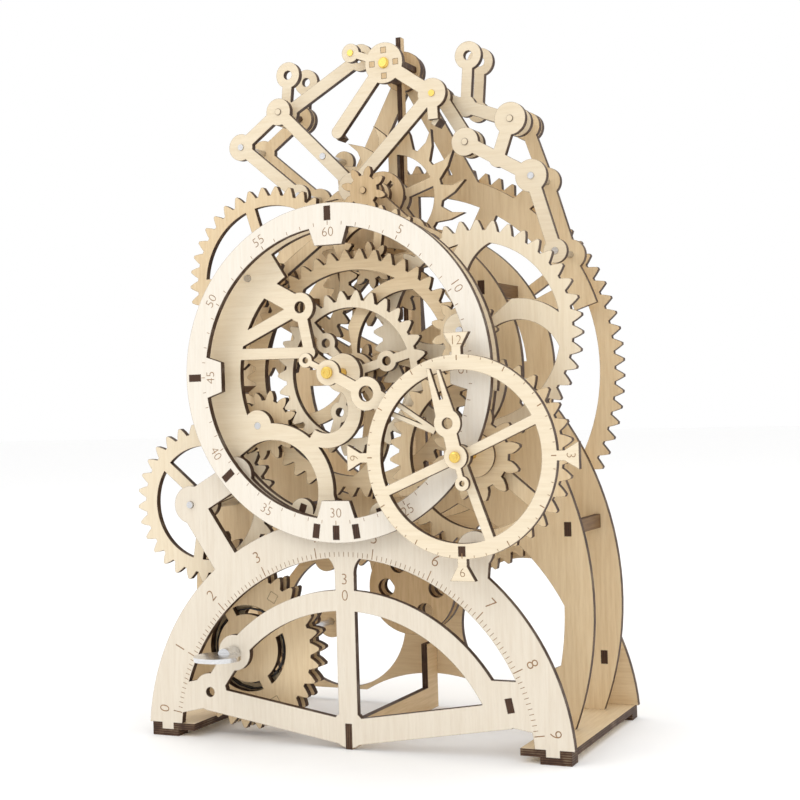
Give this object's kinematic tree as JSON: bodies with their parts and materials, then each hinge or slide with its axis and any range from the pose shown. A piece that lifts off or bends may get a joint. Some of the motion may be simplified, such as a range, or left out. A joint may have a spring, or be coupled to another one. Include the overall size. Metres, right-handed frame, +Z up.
{
  "type": "wooden mechanical clock puzzle",
  "caption": "Laser-cut plywood clock kit with a wind-up gear train between arched plates, a minute ring, an hour ring and a swinging pendulum hung from a linkage crown.",
  "frame": {"origin": "middle of the underside of the centre beam, on the floor between the front and back plates", "axes": "+X to the right seen from the front, +Y from the front plate to the back plate, +Z up"},
  "size_m": [0.2239, 0.1226, 0.3221],
  "materials": {
    "ply": "matte",
    "pale_ply": "matte",
    "gear_ply": "matte",
    "tie_ply": "matte",
    "steel": "satin",
    "brass": "satin",
    "spring_steel": "satin"
  },
  "bodies": {
    "frame": {"front_plate": "ply", "minute_ring": "pale_ply", "hour_ring": "pale_ply", "train_plate": "ply", "mid_plate": "ply", "bridge_plate": "ply", "rear_plate": "ply", "back_plate": "ply", "base_boards": "ply", "foot_pads": "ply", "centre_beam": "ply", "front_ties": "tie_ply", "train_ties": "tie_ply", "frame_ties": "tie_ply", "bridge_posts": "tie_ply", "left_gallows": "pale_ply", "right_gallows": "pale_ply", "link_posts": "steel", "idler_stud": "steel"},
    "barrel": {"barrel_front_gear": "gear_ply", "barrel_drum": "gear_ply", "barrel_rear_gear": "gear_ply", "mainspring": "spring_steel"},
    "winder": {"barrel_arbor": "steel", "winding_key": "steel", "ratchet_wheel": "gear_ply"},
    "click": {"click": "gear_ply"},
    "left_wheel": {"left_wheel": "pale_ply", "left_arbor": "steel"},
    "idler": {"idler_gear": "gear_ply"},
    "centre": {"centre_gear": "pale_ply", "centre_great_wheel": "gear_ply", "centre_pinion": "gear_ply", "centre_tube": "brass", "minute_hand": "pale_ply"},
    "right_wheel": {"right_wheel": "pale_ply", "right_pinion": "gear_ply", "right_arbor": "steel"},
    "hour": {"hour_gear": "gear_ply", "hour_setting_wheel": "gear_ply", "hour_arbor": "brass", "hour_hand": "pale_ply"},
    "upper_wheel": {"upper_wheel": "gear_ply", "upper_pinion": "gear_ply", "upper_arbor": "steel"},
    "third_wheel": {"third_wheel": "gear_ply", "third_arbor": "steel"},
    "escape": {"escape_wheel": "gear_ply", "escape_arbor": "gear_ply"},
    "rear_drive": {"rear_drive": "gear_ply"},
    "big_wheel": {"big_wheel": "gear_ply", "big_arbor": "steel"},
    "pendulum": {"pendulum_anchor": "pale_ply", "hub_bars": "tie_ply", "pendulum_axle": "brass", "pendulum_rod": "tie_ply", "pendulum_bob": "gear_ply"},
    "left_lever": {"left_lever": "pale_ply"},
    "right_lever": {"right_lever": "pale_ply"},
    "ring_lever": {"ring_lever": "pale_ply"}
  },
  "joints": [
    {"name": "escape_spin", "type": "hinge", "parent": "frame", "child": "escape", "pos_m": [0.00001, 0, 0.2442], "axis": [0, 1, 0], "continuous": true},
    {"name": "barrel_spin", "type": "hinge", "parent": "frame", "child": "barrel", "pos_m": [-0.05591, 0, 0.03926], "axis": [0, 1, 0], "continuous": true},
    {"name": "winding_turn", "type": "hinge", "parent": "frame", "child": "winder", "pos_m": [-0.05591, 0, 0.03926], "axis": [0, 1, 0], "continuous": true},
    {"name": "click_lift", "type": "hinge", "parent": "frame", "child": "click", "pos_m": [-0.03791, 0, 0.05326], "axis": [0, 1, 0], "range_deg": [0, 12]},
    {"name": "left_wheel_spin", "type": "hinge", "parent": "frame", "child": "left_wheel", "pos_m": [-0.07643, 0, 0.10514], "axis": [0, 1, 0], "continuous": true},
    {"name": "idler_spin", "type": "hinge", "parent": "frame", "child": "idler", "pos_m": [-0.043, 0, 0.14], "axis": [0, 1, 0], "continuous": true},
    {"name": "centre_spin", "type": "hinge", "parent": "frame", "child": "centre", "pos_m": [0, 0, 0.162], "axis": [0, 1, 0], "continuous": true},
    {"name": "right_wheel_spin", "type": "hinge", "parent": "frame", "child": "right_wheel", "pos_m": [0.0553, 0, 0.17775], "axis": [0, 1, 0], "continuous": true},
    {"name": "hour_spin", "type": "hinge", "parent": "frame", "child": "hour", "pos_m": [0.06066, 0, 0.12585], "axis": [0, 1, 0], "continuous": true},
    {"name": "upper_wheel_spin", "type": "hinge", "parent": "frame", "child": "upper_wheel", "pos_m": [-0.04573, 0, 0.2057], "axis": [0, 1, 0], "continuous": true},
    {"name": "third_wheel_spin", "type": "hinge", "parent": "frame", "child": "third_wheel", "pos_m": [0.00469, 0, 0.21002], "axis": [0, 1, 0], "continuous": true},
    {"name": "rear_drive_spin", "type": "hinge", "parent": "frame", "child": "rear_drive", "pos_m": [-0.07064, 0, 0.0804], "axis": [0, 1, 0], "continuous": true},
    {"name": "big_wheel_spin", "type": "hinge", "parent": "frame", "child": "big_wheel", "pos_m": [-0.00001, 0, 0.16223], "axis": [0, 1, 0], "continuous": true},
    {"name": "pendulum_swing", "type": "hinge", "parent": "frame", "child": "pendulum", "pos_m": [0, 0, 0.3066], "axis": [0, 1, 0], "range_deg": [-3, 3]},
    {"name": "left_lever_rock", "type": "hinge", "parent": "frame", "child": "left_lever", "pos_m": [-0.0585, 0, 0.2907], "axis": [0, 1, 0], "range_deg": [-0.75, 0.75]},
    {"name": "right_lever_rock", "type": "hinge", "parent": "frame", "child": "right_lever", "pos_m": [0.0379, 0, 0.2667], "axis": [0, 1, 0], "range_deg": [-2.94, 2.94]},
    {"name": "ring_lever_rock", "type": "hinge", "parent": "frame", "child": "ring_lever", "pos_m": [0.06, 0, 0.275], "axis": [0, 1, 0], "range_deg": [-2.16, 2.16]}
  ],
  "couplings": [
    {"joint": "barrel_spin", "follows": "escape_spin", "ratio": 0.014978},
    {"joint": "left_wheel_spin", "follows": "escape_spin", "ratio": -0.014978},
    {"joint": "idler_spin", "follows": "escape_spin", "ratio": 0.037445},
    {"joint": "centre_spin", "follows": "escape_spin", "ratio": -0.014978},
    {"joint": "right_wheel_spin", "follows": "escape_spin", "ratio": 0.0037445},
    {"joint": "hour_spin", "follows": "escape_spin", "ratio": -0.0012482},
    {"joint": "upper_wheel_spin", "follows": "escape_spin", "ratio": 0.076555},
    {"joint": "third_wheel_spin", "follows": "escape_spin", "ratio": -0.36364},
    {"joint": "rear_drive_spin", "follows": "escape_spin", "ratio": -0.056168},
    {"joint": "big_wheel_spin", "follows": "escape_spin", "ratio": 0.0052249},
    {"joint": "left_lever_rock", "follows": "pendulum_swing", "ratio": -0.25015},
    {"joint": "right_lever_rock", "follows": "pendulum_swing", "ratio": -0.97851},
    {"joint": "ring_lever_rock", "follows": "pendulum_swing", "ratio": -0.72036}
  ]
}
